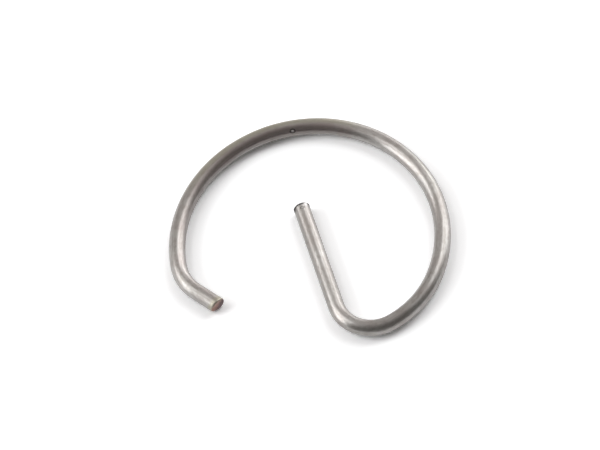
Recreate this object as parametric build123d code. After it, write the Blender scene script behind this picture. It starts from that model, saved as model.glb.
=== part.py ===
from build123d import *
from math import acos, atan2, cos, degrees, hypot, radians, sin
import os

# A round-wire retaining ring for a wrist pin: one length of spring wire, bent in one plane.
# The ring lies in the XY plane with its centre at the origin and its wire's axis at Z = 0.
# Lengths are in millimetres and angles in degrees, anticlockwise from +X seen from above.

# Wire and ring
wire_diameter = 1.0
ring_outside_diameter = 17.0

# Short hook at one end of the wire, bent into the ring's mouth
hook_side_angle = 172.7
hook_inside_radius = 2.4
hook_turn = 43.0
hook_straight = 1.7

# Long removal tang at the other end, bent back across the ring parallel to +Y
transition_inside_radius = 5.5
transition_turn = 39.0
tang_inside_radius = 1.75
tang_line_offset = 0.2
tang_tip_past_centre = 2.4

# Edges of the two cut ends
tang_end_chamfer = 0.06
hook_end_rounding = 0.1

# Every bend's own radius is measured on the wire's axis
wire_radius = wire_diameter / 2
ring_radius = ring_outside_diameter / 2 - wire_radius
hook_radius = hook_inside_radius + wire_radius
transition_radius = transition_inside_radius + wire_radius
tang_radius = tang_inside_radius + wire_radius


def tang_side_angle():
    """Angle at which the wire leaves the ring's circle so that the tang comes to lie on its own line.

    The transition bend's centre lies ring_radius - transition_radius from the ring's centre, and the
    tang bend's centre lies transition_radius - tang_radius further on, turned by transition_turn.
    The two steps together reach across to X = tang_line_offset + tang_radius.
    """
    first_step = ring_radius - transition_radius
    second_step = transition_radius - tang_radius
    along = first_step + second_step * cos(radians(transition_turn))
    aside = second_step * sin(radians(transition_turn))
    reach = hypot(along, aside)
    return degrees(atan2(aside, along) - acos((tang_line_offset + tang_radius) / reach))


def wire_axis():
    """Axis of the bent wire: hook, hook bend, ring, transition bend, tang bend and tang, all tangent."""
    leaving_angle = tang_side_angle()
    half_turn = 180
    tang_turn = half_turn + leaving_angle - transition_turn
    ring = CenterArc((0, 0), ring_radius, hook_side_angle, leaving_angle - hook_side_angle)
    hook_bend = JernArc(ring @ 0, -(ring % 0), hook_radius, hook_turn)
    hook = Line(hook_bend @ 1, hook_bend @ 1 + hook_straight * (hook_bend % 1))
    transition = JernArc(ring @ 1, ring % 1, transition_radius, -transition_turn)
    tang_bend = JernArc(transition @ 1, transition % 1, tang_radius, -tang_turn)
    tang = Line(tang_bend @ 1, (tang_line_offset, tang_tip_past_centre))
    return Wire([hook, hook_bend, ring, transition, tang_bend, tang]), hook @ 1, tang @ 1


def end_rim(wire, end_point):
    """Round edge of the wire's cut end that is centred on end_point."""
    return wire.edges().filter_by(GeomType.CIRCLE).sort_by_distance(end_point)[0]


def retaining_ring():
    """The whole ring: a round section carried along the wire's axis, with its two cut ends dressed."""
    axis, hook_end, tang_end = wire_axis()
    section_plane = Plane(origin=axis @ 0, z_dir=axis % 0)
    wire = sweep(section_plane * Circle(wire_radius), path=axis)
    wire = chamfer(end_rim(wire, tang_end), tang_end_chamfer)
    return fillet(end_rim(wire, hook_end), hook_end_rounding)


def main():
    """Write the ring to parts/."""
    os.makedirs("parts", exist_ok=True)
    export_step(retaining_ring(), "parts/retaining_ring.step")


main()
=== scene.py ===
"""Look of a round-wire retaining ring that lies flat on a pale studio floor.

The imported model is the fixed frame. Its one node is replaced by a finer skin of the same wire, worked out
here from the same driving dimensions and dressed as drawn spring steel. Every length is in metres and every
angle in degrees, and only the finish's own distances are in millimetres.
"""

import logging
import math
from dataclasses import dataclass, field
from enum import Enum
from functools import reduce
from typing import NamedTuple

import bpy
import numpy as np
from mathutils import Matrix, Vector


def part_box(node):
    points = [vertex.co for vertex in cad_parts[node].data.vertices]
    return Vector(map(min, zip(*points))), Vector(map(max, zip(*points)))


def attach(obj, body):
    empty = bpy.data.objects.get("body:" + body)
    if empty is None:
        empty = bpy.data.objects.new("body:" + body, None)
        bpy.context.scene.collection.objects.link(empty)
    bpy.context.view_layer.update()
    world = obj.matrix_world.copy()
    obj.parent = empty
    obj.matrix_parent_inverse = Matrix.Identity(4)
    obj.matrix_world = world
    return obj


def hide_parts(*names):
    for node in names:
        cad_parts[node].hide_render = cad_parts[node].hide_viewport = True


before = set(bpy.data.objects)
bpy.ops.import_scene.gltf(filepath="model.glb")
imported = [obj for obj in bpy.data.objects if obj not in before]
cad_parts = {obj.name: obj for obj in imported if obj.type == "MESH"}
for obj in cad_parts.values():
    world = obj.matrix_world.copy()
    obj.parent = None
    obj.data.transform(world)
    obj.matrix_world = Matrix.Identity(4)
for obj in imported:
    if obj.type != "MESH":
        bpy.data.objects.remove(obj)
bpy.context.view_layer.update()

LOG = logging.getLogger("retaining_ring")
MM = 0.001
NODE = "retaining_ring"
BODY = "root"

# The skin's own attributes, which its finish reads
PLACE = "wire_place"
AROUND = "around_wire"
NICKED = "nicked"
SKIN_MAP = "OFBake"

Colour = tuple[float, float, float]
Direction = tuple[float, float, float]
Socket = bpy.types.NodeSocket

# Colours that more than one mark on the wire has: a dark one, grime and painted shade, and a bright one,
# fresh metal and a painted highlight
STRAW: Colour = (0.370, 0.350, 0.275)
GRIME_AND_SHADE: Colour = (0.060, 0.057, 0.055)
FRESH_CUT_AND_GLINT: Colour = (0.520, 0.515, 0.510)

# Place of the ring's circle among the runs of the wire's axis, and a length that is as good as none
RING_RUN = 2
HAIR = 1e-12


class WireEnd(Enum):
    """The two cut ends of the wire."""

    HOOK = "hook"
    TANG = "tang"


class Run(NamedTuple):
    """A stretch of the wire's axis with one curvature.

    Attributes:
        length: length along the axis.
        curvature: turn to the left for each metre, in radians, and 0 on a straight.
    """

    length: float
    curvature: float


@dataclass(frozen=True)
class WireForm:
    """Sizes of the bent wire, as in the part's source, and the axis that they give.

    Attributes:
        wire_diameter: thickness of the wire.
        ring_outside_diameter: across the outside of the ring's circle.
        hook_side_angle: where the hook's bend leaves the circle, in degrees from +X.
        hook_inside_radius: inside radius of the hook's bend.
        hook_turn: how far that bend turns.
        hook_straight: length of the hook's straight end.
        transition_inside_radius: inside radius of the easy bend between the circle and the tang's bend.
        transition_turn: how far that bend turns.
        tang_inside_radius: inside radius of the tang's bend.
        tang_line_offset: how far the tang lies to the right of the ring's centre.
        tang_tip_past_centre: how far the tang's tip lies past the ring's centre.
        tang_end_chamfer: chamfer of the tang's cut end.
        hook_end_rounding: rounding of the hook's cut end.
    """

    wire_diameter: float = 1.0 * MM
    ring_outside_diameter: float = 17.0 * MM
    hook_side_angle: float = 172.7
    hook_inside_radius: float = 2.4 * MM
    hook_turn: float = 43.0
    hook_straight: float = 1.7 * MM
    transition_inside_radius: float = 5.5 * MM
    transition_turn: float = 39.0
    tang_inside_radius: float = 1.75 * MM
    tang_line_offset: float = 0.2 * MM
    tang_tip_past_centre: float = 2.4 * MM
    tang_end_chamfer: float = 0.06 * MM
    hook_end_rounding: float = 0.1 * MM

    @property
    def wire_radius(self) -> float:
        """Radius of the wire's section."""
        return self.wire_diameter / 2

    @property
    def ring_radius(self) -> float:
        """Radius of the ring's circle, on the wire's axis."""
        return self.ring_outside_diameter / 2 - self.wire_radius

    def tang_side(self) -> tuple[float, float]:
        """Where the wire leaves the circle on the tang's side, and the height at which the tang begins.

        The transition bend's centre lies one step from the ring's centre, and the tang bend's centre a
        second step further on, turned by the transition's turn. The two steps together reach across to the
        tang's line plus the tang bend's radius, which fixes the angle of the first.

        Returns:
            The angle on the circle in degrees, and the Y of the tang's first point.
        """
        transition_radius = self.transition_inside_radius + self.wire_radius
        tang_radius = self.tang_inside_radius + self.wire_radius
        first_step = self.ring_radius - transition_radius
        second_step = transition_radius - tang_radius
        turn = math.radians(self.transition_turn)
        along = first_step + second_step * math.cos(turn)
        aside = second_step * math.sin(turn)
        across = (self.tang_line_offset + tang_radius) / math.hypot(along, aside)
        angle = math.atan2(aside, along) - math.acos(across)
        start_y = first_step * math.sin(angle) + second_step * math.sin(angle - turn)
        return math.degrees(angle), start_y

    def runs(self) -> list[Run]:
        """The axis from the hook's tip to the tang's tip, as stretches that meet without a corner.

        Returns:
            Hook, hook bend, ring, transition bend, tang bend and tang. All bends turn to the right.
        """
        leaving_angle, tang_start = self.tang_side()
        bends = (
            (self.hook_turn, self.hook_inside_radius + self.wire_radius),
            (self.hook_side_angle - leaving_angle, self.ring_radius),
            (self.transition_turn, self.transition_inside_radius + self.wire_radius),
            (180 + leaving_angle - self.transition_turn, self.tang_inside_radius + self.wire_radius),
        )
        turned = [Run(math.radians(turn) * radius, -1 / radius) for turn, radius in bends]
        hook = Run(self.hook_straight, 0.0)
        tang = Run(self.tang_tip_past_centre - tang_start, 0.0)
        return [hook, *turned, tang]

    @property
    def length(self) -> float:
        """Length of the wire, along its axis."""
        return sum(run.length for run in self.runs())

    def axis(self, along: np.ndarray) -> tuple[np.ndarray, np.ndarray]:
        """Places on the axis and the directions there, as complex numbers in the ring's plane.

        A run that starts at p with direction h has, after a length t, the direction h exp(i k t) and the
        place p + h (exp(i k t) - 1) / (i k), where k is its curvature, or p + h t where k is 0. The whole
        path is then moved and turned, so that the ring's circle is centred on the origin.

        Args:
            along: distances from the hook's tip.

        Returns:
            The places and the unit directions, one for each distance.
        """
        place = np.zeros(len(along), complex)
        heading = np.ones(len(along), complex)
        start, course, begun = 0j, 1 + 0j, 0.0
        starts = []
        for run in self.runs():
            starts.append((start, course))
            inside = along >= begun - HAIR
            travelled = along[inside] - begun
            heading[inside] = course * np.exp(1j * run.curvature * travelled)
            place[inside] = start + course * self._chord(run.curvature, travelled)
            start += course * complex(self._chord(run.curvature, np.array(run.length)))
            course *= np.exp(1j * run.curvature * run.length)
            begun += run.length
        circle_start, tangent = starts[RING_RUN]
        centre = circle_start - 1j * tangent * self.ring_radius
        hook_side = np.exp(1j * math.radians(self.hook_side_angle)) * self.ring_radius
        turn = hook_side / (circle_start - centre)
        return (place - centre) * turn, heading * turn

    @staticmethod
    def _chord(curvature: float, length: np.ndarray) -> np.ndarray:
        """The step from a run's start to a point on it, for a run that sets off along the real axis.

        Args:
            curvature: the run's curvature.
            length: the length travelled.

        Returns:
            The step, as a complex number.
        """
        if curvature == 0:
            return length.astype(complex)
        return (np.exp(1j * curvature * length) - 1) / (1j * curvature)


@dataclass(frozen=True)
class CutEnd:
    """How far a cut end departs from a square one.

    Attributes:
        slant: how far the face's side stands back from the face's middle.
        slant_side: the side that stands back furthest, in degrees round the section.
        lip: how far the cutter's burr stands out of the rim, below 0 where the rim is worn back.
        lip_side: the middle of the burr or wear, in degrees round the section.
        lip_spread: half its spread round the rim, in degrees.
        fade: distance from the tip over which all this dies out.
    """

    slant: float
    slant_side: float
    lip: float
    lip_side: float
    lip_spread: float
    fade: float

    def set_back(
        self, from_tip: np.ndarray, across: np.ndarray, angle: np.ndarray, radius: float
    ) -> np.ndarray:
        """How far each point of the skin stands back from a square cut.

        The slant is a tilted plane. The burr is a bell round the rim, which rises with the fourth power of
        the distance from the middle. Both fade evenly along the wire.

        Args:
            from_tip: distances from the tip.
            across: distances from the wire's axis.
            angle: places round the section, in degrees.
            radius: the wire's radius.

        Returns:
            The distances, towards the wire.
        """
        share = across / radius
        plane = self.slant * share * np.cos(np.radians(angle - self.slant_side))
        off_angle = (angle - self.lip_side + 180) % 360 - 180
        burr = self.lip * share**4 * np.exp(-((off_angle / self.lip_spread) ** 2))
        return (plane - burr) * np.clip(1 - from_tip / self.fade, 0, 1)


@dataclass(frozen=True)
class Nick:
    """A small handling nick in the skin.

    Attributes:
        along: distance from the hook's tip.
        angle: place round the section, from the outside of the ring towards the top, in degrees.
        length: its half length along the wire.
        width: its half width round the wire.
        depth: how far it goes in.
        lip: how much lip it has.
    """

    along: float
    angle: float
    length: float
    width: float
    depth: float
    lip: float = 0.8

    def shape(self, along: np.ndarray, angle: np.ndarray, radius: float) -> np.ndarray:
        """The nick over a grid: a bell in both directions, with a low lip thrown up round it.

        With d for the distance from its middle, in half lengths and half widths, and m for the lip, it is
        (1 - m d^2) exp(-d^2).

        Args:
            along: distances from the hook's tip.
            angle: places round the section, in degrees.
            radius: the wire's radius.

        Returns:
            1 in the middle of the nick, less than 0 on its lip, and 0 away from it.
        """
        off_angle = (angle - self.angle + 180) % 360 - 180
        far = ((along - self.along) / self.length) ** 2
        far = far + (np.radians(off_angle) * radius / self.width) ** 2
        return (1 - self.lip * far) * np.exp(-far)


class Climb(NamedTuple):
    """A smooth climb of a level over a stretch of values.

    Attributes:
        start: value at which it begins.
        end: value at which it ends, less than start where it runs backwards.
        low: level at start and before it.
        high: level at end and past it.
    """

    start: float
    end: float
    low: float = 0.0
    high: float = 1.0


class Grain(NamedTuple):
    """Noise on the wire's skin.

    Attributes:
        per_mm: how fine it is round the wire.
        detail: how many finer layers it has.
        along: how fine it is along the wire, as a share of that.
    """

    per_mm: float
    detail: float = 2.0
    along: float = 1.0


class NodeTree:
    """Short ways to add and join shader nodes."""

    def __init__(self, owner: bpy.types.Material | bpy.types.World) -> None:
        """Empties the node tree of a material or a world.

        Args:
            owner: what the nodes belong to.
        """
        owner.use_nodes = True
        self.tree = owner.node_tree
        self.tree.nodes.clear()

    def add(self, kind: str, **settings: object) -> bpy.types.Node:
        """Adds a node.

        Args:
            kind: the node's type name.
            settings: its properties.

        Returns:
            The new node.
        """
        node = self.tree.nodes.new(kind)
        for name, value in settings.items():
            setattr(node, name, value)
        return node

    def feed(self, socket: Socket, value: object) -> None:
        """Joins a socket to another node's output, or sets it to a plain value.

        Args:
            socket: the input.
            value: an output socket, a number or a tuple.
        """
        if isinstance(value, Socket):
            self.tree.links.new(value, socket)
        else:
            socket.default_value = value

    def attribute(self, name: str, output: str = "Vector") -> Socket:
        """A mesh attribute, as a vector or as one number."""
        return self.add("ShaderNodeAttribute", attribute_name=name).outputs[output]

    def math(self, operation: str, *values: object) -> Socket:
        """One sum of the Math node.

        Args:
            operation: such as MULTIPLY.
            values: its inputs, in order.

        Returns:
            The result.
        """
        node = self.add("ShaderNodeMath", operation=operation)
        for socket, value in zip(node.inputs, values):
            self.feed(socket, value)
        return node.outputs[0]

    def total(self, *values: object) -> Socket:
        """Two or more values added up."""
        return reduce(lambda first, second: self.math("ADD", first, second), values)

    def product(self, *values: object) -> Socket:
        """Two or more values multiplied together."""
        return reduce(lambda first, second: self.math("MULTIPLY", first, second), values)

    def stretch(self, vector: Socket, scale: Direction) -> Socket:
        """A vector times a scale on each axis.

        Args:
            vector: the input.
            scale: what each axis is multiplied by.

        Returns:
            The stretched vector.
        """
        node = self.add("ShaderNodeVectorMath", operation="MULTIPLY")
        self.feed(node.inputs[0], vector)
        self.feed(node.inputs[1], scale)
        return node.outputs[0]

    def along(self, vector: Socket, way: Direction) -> Socket:
        """How far a vector goes along a fixed direction, which is their dot product.

        Args:
            vector: the input.
            way: the direction.

        Returns:
            The distance.
        """
        node = self.add("ShaderNodeVectorMath", operation="DOT_PRODUCT")
        self.feed(node.inputs[0], vector)
        self.feed(node.inputs[1], way)
        return node.outputs["Value"]

    def noise(self, place: Socket, grain: Grain) -> Socket:
        """Noise on the skin.

        Args:
            place: the skin's place on the wire in millimetres, with the wire's length in Z.
            grain: how fine the noise is.

        Returns:
            The noise, from 0 to 1.
        """
        node = self.add("ShaderNodeTexNoise")
        self.feed(node.inputs["Vector"], self.stretch(place, (1, 1, grain.along)))
        self.feed(node.inputs["Scale"], grain.per_mm)
        self.feed(node.inputs["Detail"], grain.detail)
        return node.outputs["Fac"]

    def uneven(self, distance: Socket, place: Socket, grain: Grain, reach: float) -> Socket:
        """A distance that noise makes uneven.

        Args:
            distance: the even distance.
            place: the skin's place on the wire in millimetres.
            grain: how fine the noise is.
            reach: the most that it adds.

        Returns:
            The uneven distance.
        """
        return self.total(distance, self.product(self.noise(place, grain), reach))

    def ramp(self, value: Socket, climb: Climb) -> Socket:
        """Carries a value up a smooth climb.

        Args:
            value: the input.
            climb: where the climb begins and ends, and the levels there.

        Returns:
            The level.
        """
        node = self.add("ShaderNodeMapRange", interpolation_type="SMOOTHSTEP")
        for socket, given in zip(node.inputs, (value, *climb)):
            self.feed(socket, given)
        return node.outputs[0]

    def mix(self, share: Socket, first: object, second: object) -> Socket:
        """Mixes two colours.

        Args:
            share: how much of the second colour, from 0 to 1.
            first: a colour or an output.
            second: a colour or an output.

        Returns:
            The mixed colour.
        """
        node = self.add("ShaderNodeMix", data_type="RGBA")
        self.feed(node.inputs["Factor"], share)
        for name, value in (("A", first), ("B", second)):
            socket = next(s for s in node.inputs if s.name == name and s.type == "RGBA")
            self.feed(socket, (*value, 1.0) if isinstance(value, tuple) else value)
        return next(s for s in node.outputs if s.type == "RGBA")


class SkinPlace(NamedTuple):
    """Where a point of the skin is on the wire, in millimetres, as outputs of the finish's nodes.

    Attributes:
        whole: across the section in X and Y, and from the hook's tip in Z.
        side: to the left of the way from the hook to the tang, which is outwards on the ring.
        top: above the wire's axis.
        from_hook: from the hook's tip, along the wire.
        to_tang: from the tang's tip, along the wire.
        off_axis: from the wire's axis, in any direction.
    """

    whole: Socket
    side: Socket
    top: Socket
    from_hook: Socket
    to_tang: Socket
    off_axis: Socket


@dataclass(frozen=True)
class BareSteel:
    """Warm grey steel with worn lengthwise drawing lines and a faint tarnish.

    Attributes:
        steel: colour between the lines.
        line_shade: colour of the lines and the mottle.
        tarnish: colour of the tarnish.
        fine: long fine lines.
        broad: broader, shorter streaks.
        fine_share: the fine lines' share of the pattern, the rest being the streaks'.
        lines_seen: how the pattern turns into shade.
        lines_cover: the most shade that it gives.
        mottle: nearly round noise.
        mottle_seen: the shade that it adds.
        cloud: large soft patches.
        cloud_seen: the tarnish in them.
    """

    steel: Colour = (0.432, 0.422, 0.409)
    line_shade: Colour = (0.270, 0.254, 0.236)
    tarnish: Colour = (0.285, 0.250, 0.236)
    fine: Grain = Grain(9.0, detail=3.0, along=0.05)
    broad: Grain = Grain(2.25, along=0.12)
    fine_share: float = 0.6
    lines_seen: Climb = Climb(0.35, 0.70)
    lines_cover: float = 0.6
    mottle: Grain = Grain(7.2, along=0.5)
    mottle_seen: Climb = Climb(0.40, 0.72, 0.0, 0.45)
    cloud: Grain = Grain(0.9)
    cloud_seen: Climb = Climb(0.35, 0.70, 0.0, 0.40)

    def lay(self, nodes: NodeTree, skin: SkinPlace) -> tuple[Socket, Socket]:
        """Colours the steel.

        Args:
            nodes: the finish's nodes.
            skin: where the point is.

        Returns:
            The lines from 0 to 1, and the colour.
        """
        fine = nodes.product(nodes.noise(skin.whole, self.fine), self.fine_share)
        broad = nodes.product(nodes.noise(skin.whole, self.broad), 1 - self.fine_share)
        lines = nodes.total(fine, broad)
        shade = nodes.product(nodes.ramp(lines, self.lines_seen), self.lines_cover)
        mottle = nodes.ramp(nodes.noise(skin.whole, self.mottle), self.mottle_seen)
        colour = nodes.mix(nodes.total(shade, mottle), self.steel, self.line_shade)
        cloud = nodes.ramp(nodes.noise(skin.whole, self.cloud), self.cloud_seen)
        return lines, nodes.mix(cloud, colour, self.tarnish)


@dataclass(frozen=True)
class HeatTintAndShade:
    """Heat tint and painted shade on the ring's far part: straw outside, mauve on top, dark brown inside.

    Attributes:
        straw: colour of the outside.
        mauve: colour of the top.
        inside_shade: colour of the inside, a painted shade.
        edge: noise that makes the two ends of the tint uneven.
        edge_reach: how far it moves them.
        begins: where the straw begins, from the hook's tip.
        deepens: where the other two deepen, after a faint start at the hook.
        ends: where all three end.
        straw_side: the straw's cover across the wire.
        mauve_side: the mauve's cover across the wire.
        mauve_top: the mauve's cover up the wire.
        inside_shade_side: the painted inside shade's cover across the wire.
        inside_shade_top: the painted inside shade's cover up the wire.
    """

    straw: Colour = STRAW
    mauve: Colour = (0.350, 0.285, 0.275)
    inside_shade: Colour = (0.130, 0.108, 0.102)
    edge: Grain = Grain(1.2)
    edge_reach: float = 3.0
    begins: Climb = Climb(9.0, 13.0)
    deepens: Climb = Climb(9.0, 13.0, 0.35, 1.0)
    ends: Climb = Climb(23.5, 20.0)
    straw_side: Climb = Climb(-0.15, 0.10, 0.0, 0.60)
    mauve_side: Climb = Climb(0.05, -0.20)
    mauve_top: Climb = Climb(0.15, 0.30, 0.0, 0.55)
    inside_shade_side: Climb = Climb(-0.36, -0.42)
    inside_shade_top: Climb = Climb(0.0, 0.10, 0.0, 0.60)

    def lay(self, nodes: NodeTree, skin: SkinPlace, colour: Socket) -> Socket:
        """Lays the tints and the painted shade on.

        Args:
            nodes: the finish's nodes.
            skin: where the point is.
            colour: the colour so far.

        Returns:
            The colour with the tints and the painted shade.
        """
        # The tints follow the sides of the section: partly heat tint and partly painted shade
        reached = nodes.uneven(skin.from_hook, skin.whole, self.edge, self.edge_reach)
        ends = nodes.ramp(reached, self.ends)
        outside = nodes.product(nodes.ramp(reached, self.begins), nodes.ramp(skin.side, self.straw_side))
        colour = nodes.mix(nodes.product(ends, outside), colour, self.straw)
        tinted = nodes.product(ends, nodes.ramp(reached, self.deepens))
        above = nodes.product(nodes.ramp(skin.side, self.mauve_side), nodes.ramp(skin.top, self.mauve_top))
        colour = nodes.mix(nodes.product(tinted, above), colour, self.mauve)
        # Painted shade: dark brown on the inside of the far part
        inside = nodes.product(nodes.ramp(skin.side, self.inside_shade_side), nodes.ramp(skin.top, self.inside_shade_top))
        return nodes.mix(nodes.product(tinted, inside), colour, self.inside_shade)


@dataclass(frozen=True)
class NickMarks:
    """The nicks' colours: bright inside as fresh metal and a painted highlight, dark on the lip as painted
    shade.

    Attributes:
        bright: colour of the bottom, fresh metal and a painted highlight.
        dark: colour of the lip, a painted shade.
        bottom: how the nick's shape turns bright.
        lip: how it turns dark, where it stands out.
    """

    bright: Colour = FRESH_CUT_AND_GLINT
    dark: Colour = GRIME_AND_SHADE
    bottom: Climb = Climb(0.1, 0.6)
    lip: Climb = Climb(-0.02, -0.075)

    def lay(self, nodes: NodeTree, colour: Socket) -> tuple[Socket, Socket]:
        """Lays the marks on.

        Args:
            nodes: the finish's nodes.
            colour: the colour so far.

        Returns:
            The bright metal's cover from 0 to 1, and the colour with the nicks.
        """
        shape = nodes.attribute(NICKED, "Fac")
        # Painted shade: dark on the nick's lip
        colour = nodes.mix(nodes.ramp(shape, self.lip), colour, self.dark)
        # Painted highlight: a bright bottom, also fresh metal
        fresh_and_glint = nodes.ramp(shape, self.bottom)
        return fresh_and_glint, nodes.mix(fresh_and_glint, colour, self.bright)


@dataclass(frozen=True)
class HookStain:
    """The brown stain on the hook's cut face, which creeps a little way up the wire to a straw fringe.

    Attributes:
        warm: its colour towards the outside of the face.
        dark: its colour towards the other side.
        straw: colour of the fringe.
        edge: noise that makes its edge uneven.
        edge_reach: how far it moves the edge.
        thin_top: how much less far the stain creeps along the top of the wire.
        cover: the stain's cover, from the tip.
        fringe: the fringe's cover, from the tip.
        dark_way: direction across the section towards the dark side.
        blotch: noise that breaks up the dark.
        blotch_reach: how far it moves the dark.
        dark_seen: how the stain darkens that way.
    """

    warm: Colour = (0.370, 0.215, 0.180)
    dark: Colour = (0.170, 0.118, 0.118)
    straw: Colour = STRAW
    edge: Grain = Grain(6.0, detail=3.0)
    edge_reach: float = 0.12
    thin_top: Climb = Climb(0.05, 0.45, 0.0, 0.07)
    cover: Climb = Climb(0.06, 0.22, 1.0, 0.0)
    fringe: Climb = Climb(0.30, 0.60, 0.7, 0.0)
    dark_way: Direction = (-0.8, -0.6, 0.0)
    blotch: Grain = Grain(5.0, detail=3.0)
    blotch_reach: float = 0.9
    dark_seen: Climb = Climb(0.15, 0.60)

    def lay(self, nodes: NodeTree, skin: SkinPlace, colour: Socket) -> tuple[Socket, Socket]:
        """Lays the stain and its fringe on.

        Args:
            nodes: the finish's nodes.
            skin: where the point is.
            colour: the colour so far.

        Returns:
            The stain's cover from 0 to 1, and the colour with stain and fringe.
        """
        reached = nodes.uneven(skin.from_hook, skin.whole, self.edge, self.edge_reach)
        reached = nodes.total(reached, nodes.ramp(skin.top, self.thin_top))
        cover = nodes.ramp(reached, self.cover)
        towards = nodes.along(skin.whole, self.dark_way)
        towards = nodes.uneven(towards, skin.whole, self.blotch, self.blotch_reach)
        stain = nodes.mix(nodes.ramp(towards, self.dark_seen), self.warm, self.dark)
        colour = nodes.mix(nodes.ramp(reached, self.fringe), colour, self.straw)
        return cover, nodes.mix(cover, colour, stain)


@dataclass(frozen=True)
class TangRimShadeAndGlint:
    """The tang's cut end: a dark rim that is painted shade down both limbs, and a painted glint on the
    right.

    Attributes:
        rim_grime_and_shade: colour of the dark rim.
        fresh_and_glint: colour of the painted glint.
        edge: noise that makes both uneven.
        edge_reach: how far it moves them.
        glint_length: the painted glint's cover, from the tip.
        glint_left: its left side.
        glint_right: its right side.
        reach: how far the dark rim comes from the tip, across the wire.
        left_limb_shade_reach: how much further on the far left, as painted shade.
        right_limb_shade_reach: how much further on the far right, as painted shade.
        rim_dark_edge: how it fades out there.
        rim_only: its cover from the middle of the cut face to the rim.
    """

    rim_grime_and_shade: Colour = GRIME_AND_SHADE
    fresh_and_glint: Colour = FRESH_CUT_AND_GLINT
    edge: Grain = Grain(8.0)
    edge_reach: float = 0.06
    glint_length: Climb = Climb(0.224, 0.364, 1.0, 0.0)
    glint_left: Climb = Climb(-0.17, -0.23)
    glint_right: Climb = Climb(-0.37, -0.31)
    reach: Climb = Climb(-0.20, -0.14, 0.15, 0.20)
    left_limb_shade_reach: Climb = Climb(0.30, 0.46, 0.0, 0.20)
    right_limb_shade_reach: Climb = Climb(-0.34, -0.42, 0.0, 0.08)
    rim_dark_edge: Climb = Climb(0.0, 0.05)
    rim_only: Climb = Climb(0.36, 0.44, 0.15, 1.0)

    def lay(self, nodes: NodeTree, skin: SkinPlace, colour: Socket) -> tuple[Socket, Socket]:
        """Lays the painted glint and the dark rim on.

        Args:
            nodes: the finish's nodes.
            skin: where the point is.
            colour: the colour so far.

        Returns:
            The dark rim's cover from 0 to 1, and the colour with the painted glint and the dark rim.
        """
        reached = nodes.uneven(skin.to_tang, skin.whole, self.edge, self.edge_reach)
        # Painted glint: a brighter colour where the highlight falls, right of the top of the cut end
        sides = (nodes.ramp(skin.side, self.glint_left), nodes.ramp(skin.side, self.glint_right))
        glint = nodes.product(nodes.ramp(reached, self.glint_length), *sides)
        colour = nodes.mix(glint, colour, self.fresh_and_glint)
        # Dark rim, which reaches further down the far left and far right limbs as painted shade
        parts = (self.reach, self.left_limb_shade_reach, self.right_limb_shade_reach)
        reach = nodes.total(*(nodes.ramp(skin.side, part) for part in parts))
        darkened_rim = nodes.ramp(nodes.math("SUBTRACT", reach, reached), self.rim_dark_edge)
        darkened_rim = nodes.product(darkened_rim, nodes.ramp(skin.off_axis, self.rim_only))
        return darkened_rim, nodes.mix(darkened_rim, colour, self.rim_grime_and_shade)


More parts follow.
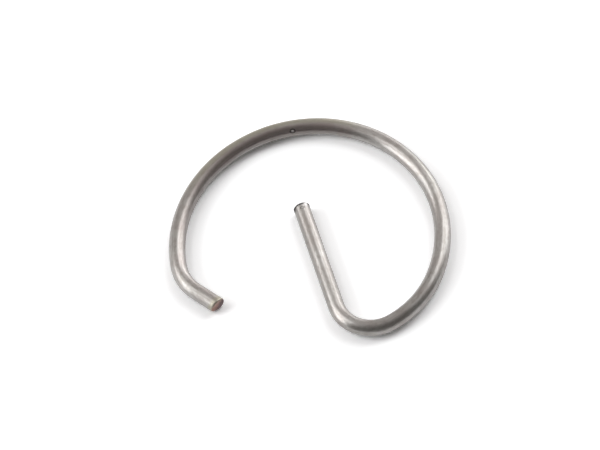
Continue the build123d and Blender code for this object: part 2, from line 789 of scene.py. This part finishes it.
@dataclass(frozen=True)
class DrawnSpringSteel:
    """Wire finish: drawn steel, heat tint with painted shade, and the marks of its nicks and its two cut
    ends.

    Attributes:
        bare: the steel itself.
        heat_and_shade: the heat tint and the painted shade on the far part.
        nicks: the nicks' marks, with their painted highlight and shade.
        hook_stain: the stain on the hook's end.
        tang_rim_shade_and_glint: the dark rim, painted shade on the limbs, and the painted glint on the
            tang's end.
        roughness: the steel's roughness over its lines.
        coat_roughness: what the stain and the dark rim add to it.
        anisotropy: how far the lines draw the glints out.
        line_height: height of the lines, in metres.
        stain_dullness: how much less metallic the stain is.
        fresh_dullness: how much less metallic a nick's bottom is.
        rim_dark_dullness: how much less metallic the dark rim is.
    """

    bare: BareSteel = BareSteel()
    heat_and_shade: HeatTintAndShade = HeatTintAndShade()
    nicks: NickMarks = NickMarks()
    hook_stain: HookStain = HookStain()
    tang_rim_shade_and_glint: TangRimShadeAndGlint = TangRimShadeAndGlint()
    roughness: Climb = Climb(0.30, 0.75, 0.32, 0.42)
    coat_roughness: float = 0.25
    anisotropy: float = 0.5
    line_height: float = 1.5e-6
    stain_dullness: float = 0.55
    fresh_dullness: float = 0.4
    rim_dark_dullness: float = 0.7

    def skin_place(self, nodes: NodeTree, form: WireForm) -> SkinPlace:
        """Reads the skin's place on the wire.

        Args:
            nodes: the finish's nodes.
            form: sizes of the wire.

        Returns:
            The place, split up.
        """
        whole = nodes.attribute(PLACE)
        split = nodes.add("ShaderNodeSeparateXYZ")
        nodes.feed(split.inputs[0], whole)
        side, top, from_hook = split.outputs
        to_tang = nodes.math("SUBTRACT", form.length / MM, from_hook)
        off_axis = nodes.add("ShaderNodeVectorMath", operation="LENGTH")
        nodes.feed(off_axis.inputs[0], nodes.stretch(whole, (1, 1, 0)))
        return SkinPlace(whole, side, top, from_hook, to_tang, off_axis.outputs["Value"])

    def material(self, form: WireForm) -> bpy.types.Material:
        """Builds the finish.

        Args:
            form: sizes of the wire.

        Returns:
            The material.
        """
        made = bpy.data.materials.new("drawn_spring_steel")
        nodes = NodeTree(made)
        skin = self.skin_place(nodes, form)
        lines, colour = self.bare.lay(nodes, skin)
        # Heat tint, with painted shade on the far part
        colour = self.heat_and_shade.lay(nodes, skin, colour)
        fresh_and_glint, colour = self.nicks.lay(nodes, colour)
        stained, colour = self.hook_stain.lay(nodes, skin, colour)
        # Tang's end: painted glint, and a dark rim with painted shade on the limbs
        darkened_rim, colour = self.tang_rim_shade_and_glint.lay(nodes, skin, colour)
        stain_dull = nodes.product(stained, self.stain_dullness)
        dull = nodes.total(stain_dull, nodes.product(fresh_and_glint, self.fresh_dullness))
        dull = nodes.math("MAXIMUM", dull, nodes.product(darkened_rim, self.rim_dark_dullness))
        coat = nodes.product(nodes.math("MAXIMUM", stained, darkened_rim), self.coat_roughness)
        bump = nodes.add("ShaderNodeBump")
        nodes.feed(bump.inputs["Height"], lines)
        nodes.feed(bump.inputs["Distance"], self.line_height)
        shader = nodes.add("ShaderNodeBsdfPrincipled")
        nodes.feed(shader.inputs["Base Color"], colour)
        nodes.feed(shader.inputs["Metallic"], nodes.math("SUBTRACT", 1.0, dull))
        nodes.feed(shader.inputs["Roughness"], nodes.total(nodes.ramp(lines, self.roughness), coat))
        nodes.feed(shader.inputs["Anisotropic"], self.anisotropy)
        nodes.feed(shader.inputs["Tangent"], nodes.attribute(AROUND))
        nodes.feed(shader.inputs["Normal"], bump.outputs["Normal"])
        output = nodes.add("ShaderNodeOutputMaterial")
        nodes.feed(output.inputs["Surface"], shader.outputs["BSDF"])
        return made


@dataclass
class RetainingRing:
    """The bent wire's skin, its two dressed ends and its finish.

    Attributes:
        form: sizes of the wire.
        finish: its look.
        hook_cut: how the hook's cut end departs from a square one.
        tang_cut: how the tang's does.
        nicks: the nicks in the skin.
        sides: how many columns of points the skin has round the wire.
        row_spacing: distance between its rows.
        nick_row_spacing: distance between its rows at a nick.
        nick_reach: how far a nick's close rows go to either side, in its half lengths.
        edge_softness: distance from the corners of the tang's chamfer to the rows that keep them crisp.
        edge_rows: how many rows the hook's rounded edge has.
        face_rows: how many rows a cut face has.
        face_span: the first and last of them, as shares of the face's radius.
        map_margin: empty border of the skin's flat map.
    """

    form: WireForm = field(default_factory=WireForm)
    finish: DrawnSpringSteel = field(default_factory=DrawnSpringSteel)
    hook_cut: CutEnd = CutEnd(
        slant=0.06 * MM, slant_side=0.0, lip=-0.12 * MM, lip_side=305.0, lip_spread=60.0, fade=0.5 * MM
    )
    tang_cut: CutEnd = CutEnd(
        slant=0.0, slant_side=0.0, lip=0.04 * MM, lip_side=100.0, lip_spread=40.0, fade=0.35 * MM
    )
    nicks: tuple[Nick, ...] = (
        Nick(along=16.70 * MM, angle=142.0, length=0.10 * MM, width=0.08 * MM, depth=0.025 * MM),
        Nick(along=48.31 * MM, angle=92.0, length=0.035 * MM, width=0.08 * MM, depth=0.012 * MM),
    )
    sides: int = 96
    row_spacing: float = 0.06 * MM
    nick_row_spacing: float = 0.02 * MM
    nick_reach: float = 3.0
    edge_softness: float = 0.008 * MM
    edge_rows: int = 7
    face_rows: int = 5
    face_span: tuple[float, float] = (0.2, 0.9)
    map_margin: float = 0.01

    def end_profile(self, end: WireEnd) -> np.ndarray:
        """Profile of one cut end, from the middle of its face to the wire's full radius.

        The hook's edge is a quarter circle. The tang's is a straight chamfer, with a second row close to
        each of its corners so that they shade as crisp but soft edges.

        Args:
            end: which end.

        Returns:
            Rows of (distance from the tip, radius), the face's middle left out.
        """
        full = self.form.wire_radius
        soft = self.edge_softness
        if end is WireEnd.HOOK:
            edge = self.form.hook_end_rounding
            turn = np.linspace(0, np.pi / 2, self.edge_rows)
            rim = np.column_stack((edge * (1 - np.cos(turn)), full - edge + edge * np.sin(turn)))
        else:
            edge = self.form.tang_end_chamfer
            steps = np.array([0, soft, edge - soft, edge])
            rim = np.column_stack((steps, full - edge + steps))
            rim = np.vstack(([[0, full - edge - soft]], rim, [[edge + soft, full]]))
        face = np.linspace(*self.face_span, self.face_rows) * rim[0, 1]
        return np.vstack((np.column_stack((np.zeros(len(face)), face)), rim))

    def rows(self) -> tuple[np.ndarray, np.ndarray]:
        """All the skin's rows, from the hook's face along the wire to the tang's face.

        Returns:
            Each row's distance along the axis, and its radius.
        """
        length = self.form.length
        hook = self.end_profile(WireEnd.HOOK)
        tang = self.end_profile(WireEnd.TANG)[::-1]
        first, last = hook[-1, 0], length - tang[0, 0]
        count = round((last - first) / self.row_spacing)
        body = np.linspace(first, last, count + 1)[1:-1]
        for nick in self.nicks:
            reach = self.nick_reach * nick.length
            close = np.arange(nick.along - reach, nick.along + reach, self.nick_row_spacing)
            body = np.sort(np.concatenate((body[np.abs(body - nick.along) > reach], close)))
        along = np.concatenate((hook[:, 0], body, length - tang[:, 0]))
        radius = np.concatenate((hook[:, 1], np.full(len(body), self.form.wire_radius), tang[:, 1]))
        return along, radius

    def skin(self) -> dict[str, np.ndarray]:
        """The skin as a grid of rows along the wire and columns round it, and one more point for each pole.

        A point of row s and column a is the axis at s plus its radius times (cos a times the outward normal
        plus sin a times up). The cut ends shift it along the wire, and the nicks take their depth off the
        radius.

        Returns:
            The points, their places on the wire in millimetres, the directions round it and the shape of
            the nicks, as flat arrays whose last two entries are the poles.
        """
        along, radius = self.rows()
        angle = np.linspace(0, 360, self.sides, endpoint=False)
        centre, heading = self.form.axis(along)
        outward = heading * 1j
        full, length = self.form.wire_radius, self.form.length
        s_grid, a_grid = np.meshgrid(along, angle, indexing="ij")
        r_grid = np.repeat(radius[:, None], self.sides, axis=1)
        step = self.hook_cut.set_back(s_grid, r_grid, a_grid, full)
        step = step - self.tang_cut.set_back(length - s_grid, r_grid, a_grid, full)
        nicked = np.zeros_like(r_grid)
        for nick in self.nicks:
            shape = nick.shape(s_grid, a_grid, full)
            nicked = nicked + shape
            r_grid = r_grid - nick.depth * shape
        cos_a, sin_a = np.cos(np.radians(a_grid)), np.sin(np.radians(a_grid))
        flat = centre[:, None] + step * heading[:, None] + r_grid * cos_a * outward[:, None]
        points = np.stack((flat.real, flat.imag, r_grid * sin_a), axis=-1)
        place = np.stack((r_grid * cos_a, r_grid * sin_a, s_grid), axis=-1) / MM
        turning = -sin_a * outward[:, None]
        around = np.stack((turning.real, turning.imag, cos_a), axis=-1)
        tips = self.form.axis(np.array([0.0, length]))[0]
        pole_points = np.column_stack((tips.real, tips.imag, np.zeros(2)))
        pole_place = np.array([[0, 0, 0], [0, 0, length / MM]])
        pole_around = np.array([[0, 0, 1.0], [0, 0, 1.0]])
        return {
            "points": np.vstack((points.reshape(-1, 3), pole_points)),
            PLACE: np.vstack((place.reshape(-1, 3), pole_place)),
            AROUND: np.vstack((around.reshape(-1, 3), pole_around)),
            NICKED: np.concatenate((nicked.ravel(), np.zeros(2))),
        }

    def faces(self, row_count: int) -> tuple[np.ndarray, np.ndarray]:
        """Quads between the rows and triangles to the poles, all facing out.

        Args:
            row_count: how many rows the skin has.

        Returns:
            The quads' corners, and the triangles' corners.
        """
        column = np.arange(self.sides)
        after = (column + 1) % self.sides
        row = np.arange(row_count - 1)[:, None] * self.sides
        next_row = row + self.sides
        quads = np.stack((row + column, row + after, next_row + after, next_row + column), axis=-1)
        last = (row_count - 1) * self.sides
        hook_pole = row_count * self.sides
        hook_fan = np.column_stack((after, column, np.full(self.sides, hook_pole)))
        tang_fan = np.column_stack((last + column, last + after, np.full(self.sides, hook_pole + 1)))
        return quads.reshape(-1, 4), np.vstack((hook_fan, tang_fan))

    def skin_map(self, row_count: int) -> np.ndarray:
        """A flat map of the skin, for each corner of each face: along the skin in U and round it in V.

        Args:
            row_count: how many rows the skin has.

        Returns:
            One (u, v) for each corner, in the order of the faces.
        """
        along, radius = self.rows()
        steps = np.hypot(np.diff(along), np.diff(radius))
        run = np.concatenate(([radius[0]], radius[0] + np.cumsum(steps)))
        total = run[-1] + radius[-1]
        margin = self.map_margin
        u = margin + (1 - 2 * margin) * run / total
        v = margin + (1 - 2 * margin) * np.arange(self.sides + 1) / self.sides
        first, second = np.arange(row_count - 1), np.arange(1, row_count)
        here, there = np.arange(self.sides), np.arange(1, self.sides + 1)
        corners = ((first, here), (first, there), (second, there), (second, here))
        grids = [np.meshgrid(u[rows], v[columns], indexing="ij") for rows, columns in corners]
        quads = np.stack([np.stack(grid, axis=-1) for grid in grids], axis=2)
        hook = self._fan_map(u[0], margin, v[there], v[here])
        tang = self._fan_map(u[-1], 1 - margin, v[here], v[there])
        return np.vstack((quads.reshape(-1, 2), hook, tang))

    @staticmethod
    def _fan_map(rim_u: float, pole_u: float, first: np.ndarray, second: np.ndarray) -> np.ndarray:
        """The flat map of the triangles between the last row and a pole.

        Args:
            rim_u: the row's U.
            pole_u: the pole's U.
            first: V of each triangle's first corner.
            second: V of its second corner.

        Returns:
            One (u, v) for each corner, triangle by triangle.
        """
        u = np.tile([rim_u, rim_u, pole_u], len(first))
        v = np.column_stack((first, second, (first + second) / 2))
        return np.column_stack((u, v.ravel()))

    def mesh(self) -> bpy.types.Mesh:
        """Puts the skin into a mesh, with its attributes and its map.

        Returns:
            The mesh.
        """
        skin = self.skin()
        row_count = len(self.rows()[0])
        quads, fans = self.faces(row_count)
        made = bpy.data.meshes.new("wire_skin")
        made.from_pydata(skin["points"], [], quads.tolist() + fans.tolist())
        for name in (PLACE, AROUND):
            layer = made.attributes.new(name, "FLOAT_VECTOR", "POINT")
            layer.data.foreach_set("vector", skin[name].astype(np.float32).ravel())
        nicked = made.attributes.new(NICKED, "FLOAT", "POINT")
        nicked.data.foreach_set("value", skin[NICKED].astype(np.float32))
        flat_map = made.uv_layers.new(name=SKIN_MAP)
        flat_map.data.foreach_set("uv", self.skin_map(row_count).astype(np.float32).ravel())
        made.polygons.foreach_set("use_smooth", np.ones(len(made.polygons), bool))
        made.update()
        return made

    def build(self) -> bpy.types.Object:
        """Makes the ring's piece, which stands for the CAD node, and hides that node.

        Returns:
            The piece.
        """
        piece = bpy.data.objects.new("bent_wire", self.mesh())
        bpy.context.scene.collection.objects.link(piece)
        piece.data.materials.append(self.finish.material(self.form))
        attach(piece, BODY)
        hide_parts(NODE)
        return piece


@dataclass(frozen=True)
class SoftBox:
    """A soft lamp that faces the ring.

    Attributes:
        name: the lamp's name.
        bearing: its direction from the ring, anticlockwise from +X seen from above, in degrees.
        height: its direction above the floor, in degrees.
        width: how wide it looks from the ring, in degrees.
        tall: how tall it looks from the ring, in degrees.
        radiance: how bright its face is, where a white floor in plain light is 1.
    """

    name: str
    bearing: float
    height: float
    width: float
    tall: float
    radiance: float

    def build(self, distance: float) -> bpy.types.Object:
        """Makes the lamp.

        Args:
            distance: from the ring's centre.

        Returns:
            The lamp's object.
        """
        lamp = bpy.data.lights.new(self.name, "AREA")
        lamp.shape = "RECTANGLE"
        lamp.size = 2 * distance * math.tan(math.radians(self.width / 2))
        lamp.size_y = 2 * distance * math.tan(math.radians(self.tall / 2))
        lamp.energy = self.radiance * math.pi * lamp.size * lamp.size_y
        made = bpy.data.objects.new(self.name, lamp)
        bpy.context.scene.collection.objects.link(made)
        towards = direction(self.bearing, self.height)
        facing = towards.to_track_quat("Z", "Y").to_matrix().to_4x4()
        made.matrix_world = Matrix.Translation(towards * distance) @ facing
        made.visible_camera = False
        return made


def direction(bearing: float, height: float) -> Vector:
    """Unit vector at a bearing from +X and a height above the floor, both in degrees."""
    turn, lift = math.radians(bearing), math.radians(height)
    return Vector((math.cos(turn) * math.cos(lift), math.sin(turn) * math.cos(lift), math.sin(lift)))


@dataclass(frozen=True)
class Studio:
    """White floor, soft boxes on both sides of the ring, and a surround that is brighter at the back.

    Attributes:
        floor_colour: the floor's colour, in the light that it throws back.
        floor_seen: the floor's colour as the camera and the steel see it, a clean white.
        floor_half_width: half the floor's width.
        lamp_distance: from the ring's centre to each soft box.
        back_bearing: direction of the back of the studio.
        surround_level: brightness of the surround over the cosine of the angle off the back.
        surround_colour: the surround's warm tint.
        boxes: the soft boxes.
    """

    floor_colour: Colour = (0.91, 0.92, 0.93)
    floor_seen: Colour = (1.28, 1.30, 1.32)
    floor_half_width: float = 0.6
    lamp_distance: float = 0.5
    back_bearing: float = 94.0
    surround_level: Climb = Climb(-0.5, 0.7, 0.16, 0.66)
    surround_colour: Colour = (1.0, 0.95, 0.92)
    boxes: tuple[SoftBox, ...] = (
        SoftBox("left_soft_box", bearing=164, height=36, width=40, tall=16, radiance=4.8),
        SoftBox("left_foot", bearing=180, height=18, width=26, tall=22, radiance=2.7),
        SoftBox("left_top", bearing=151, height=60, width=24, tall=18, radiance=3.0),
        SoftBox("right_soft_box", bearing=33, height=52, width=24, tall=22, radiance=3.4),
        SoftBox("right_foot", bearing=24, height=16, width=40, tall=24, radiance=3.0),
        SoftBox("right_fold", bearing=16, height=38, width=30, tall=18, radiance=1.3),
        SoftBox("back_right_foot", bearing=56, height=9, width=34, tall=12, radiance=2.3),
    )

    def floor(self, level: float) -> bpy.types.Object:
        """Makes the floor.

        Light that bounces off it meets its plain colour. The camera and reflections see it a little
        whiter, and it keeps the ring's shadow.

        Args:
            level: its height.

        Returns:
            The floor's object.
        """
        half = self.floor_half_width
        corners = [(-half, -half, level), (half, -half, level), (half, half, level), (-half, half, level)]
        mesh = bpy.data.meshes.new("floor")
        mesh.from_pydata(corners, [], [(0, 1, 2, 3)])
        made = bpy.data.objects.new("floor", mesh)
        bpy.context.scene.collection.objects.link(made)
        paint = bpy.data.materials.new("floor_white")
        nodes = NodeTree(paint)
        rays = nodes.add("ShaderNodeLightPath").outputs
        seen = nodes.math("MAXIMUM", rays["Is Camera Ray"], rays["Is Glossy Ray"])
        seen = nodes.math("MAXIMUM", seen, rays["Is Transmission Ray"])
        diffuse = nodes.add("ShaderNodeBsdfDiffuse")
        nodes.feed(diffuse.inputs["Color"], nodes.mix(seen, self.floor_colour, self.floor_seen))
        output = nodes.add("ShaderNodeOutputMaterial")
        nodes.feed(output.inputs["Surface"], diffuse.outputs["BSDF"])
        mesh.materials.append(paint)
        return made

    def surround(self) -> bpy.types.World:
        """Makes the world, dim on the camera's side and brighter at the back.

        Returns:
            The world.
        """
        world = bpy.data.worlds.new("studio_surround")
        bpy.context.scene.world = world
        nodes = NodeTree(world)
        looking = nodes.add("ShaderNodeTexCoord").outputs["Generated"]
        facing = nodes.along(looking, tuple(direction(self.back_bearing, 0)))
        background = nodes.add("ShaderNodeBackground")
        nodes.feed(background.inputs["Color"], (*self.surround_colour, 1.0))
        nodes.feed(background.inputs["Strength"], nodes.ramp(facing, self.surround_level))
        output = nodes.add("ShaderNodeOutputWorld")
        nodes.feed(output.inputs["Surface"], background.outputs["Background"])
        return world

    def build(self, floor_level: float) -> None:
        """Makes the floor, the lamps and the surround.

        Args:
            floor_level: the floor's height.
        """
        self.floor(floor_level)
        for box in self.boxes:
            box.build(self.lamp_distance)
            LOG.info("lamp %s", box.name)
        self.surround()


@dataclass(frozen=True)
class PhotoCamera:
    """The photograph's view of the ring.

    Attributes:
        bearing: where the camera stands, anticlockwise from +X seen from above, in degrees.
        height: how far above the floor it stands, in degrees.
        roll: how far it is turned clockwise about its own line of sight, in degrees.
        distance: from the ring's centre.
        ring_pixels: how many pixels of the image the ring's radius on the wire's axis covers.
        centre_pixel: where the ring's centre is in the image.
        image: the image's size in pixels.
        sensor_width: the sensor's width in millimetres.
        clip: the nearest and the furthest distance that it sees.
    """

    bearing: float = -96.44
    height: float = 59.30
    roll: float = 11.86
    distance: float = 0.28
    ring_pixels: float = 133.43
    centre_pixel: tuple[float, float] = (309.55, 240.40)
    image: tuple[int, int] = (600, 450)
    sensor_width: float = 36.0
    clip: tuple[float, float] = (0.01, 10.0)

    def build(self, form: WireForm) -> bpy.types.Object:
        """Makes the camera and makes it the scene's own.

        Args:
            form: sizes of the wire.

        Returns:
            The camera's object.
        """
        focal_pixels = self.ring_pixels / form.ring_radius * self.distance
        back = direction(self.bearing, self.height)
        level_right = Vector((0, 0, 1)).cross(back).normalized()
        level_up = back.cross(level_right)
        roll = math.radians(self.roll)
        right = math.cos(roll) * level_right - math.sin(roll) * level_up
        up = math.sin(roll) * level_right + math.cos(roll) * level_up
        metres_per_pixel = self.distance / focal_pixels
        across = (self.centre_pixel[0] - self.image[0] / 2) * metres_per_pixel
        down = (self.centre_pixel[1] - self.image[1] / 2) * metres_per_pixel
        place = back * self.distance - right * across + up * down
        data = bpy.data.cameras.new("photo_camera")
        data.sensor_width = self.sensor_width
        data.lens = focal_pixels / self.image[0] * data.sensor_width
        data.clip_start, data.clip_end = self.clip
        made = bpy.data.objects.new("photo_camera", data)
        bpy.context.scene.collection.objects.link(made)
        made.matrix_world = Matrix.Translation(place) @ Matrix((right, up, back)).transposed().to_4x4()
        bpy.context.scene.camera = made
        return made


def main() -> None:
    """Builds the ring, then the studio and the camera round it."""
    logging.basicConfig(level=logging.INFO, format="%(name)s: %(message)s")
    bpy.context.scene.view_settings.view_transform = "Standard"
    ring = RetainingRing()
    piece = ring.build()
    LOG.info("wire skin: %d faces, %.2f mm long", len(piece.data.polygons), ring.form.length / MM)
    Studio().build(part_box(NODE)[0].z)
    LOG.info("studio ready")
    PhotoCamera().build(ring.form)
    LOG.info("camera ready")


if __name__ == "__main__":
    main()
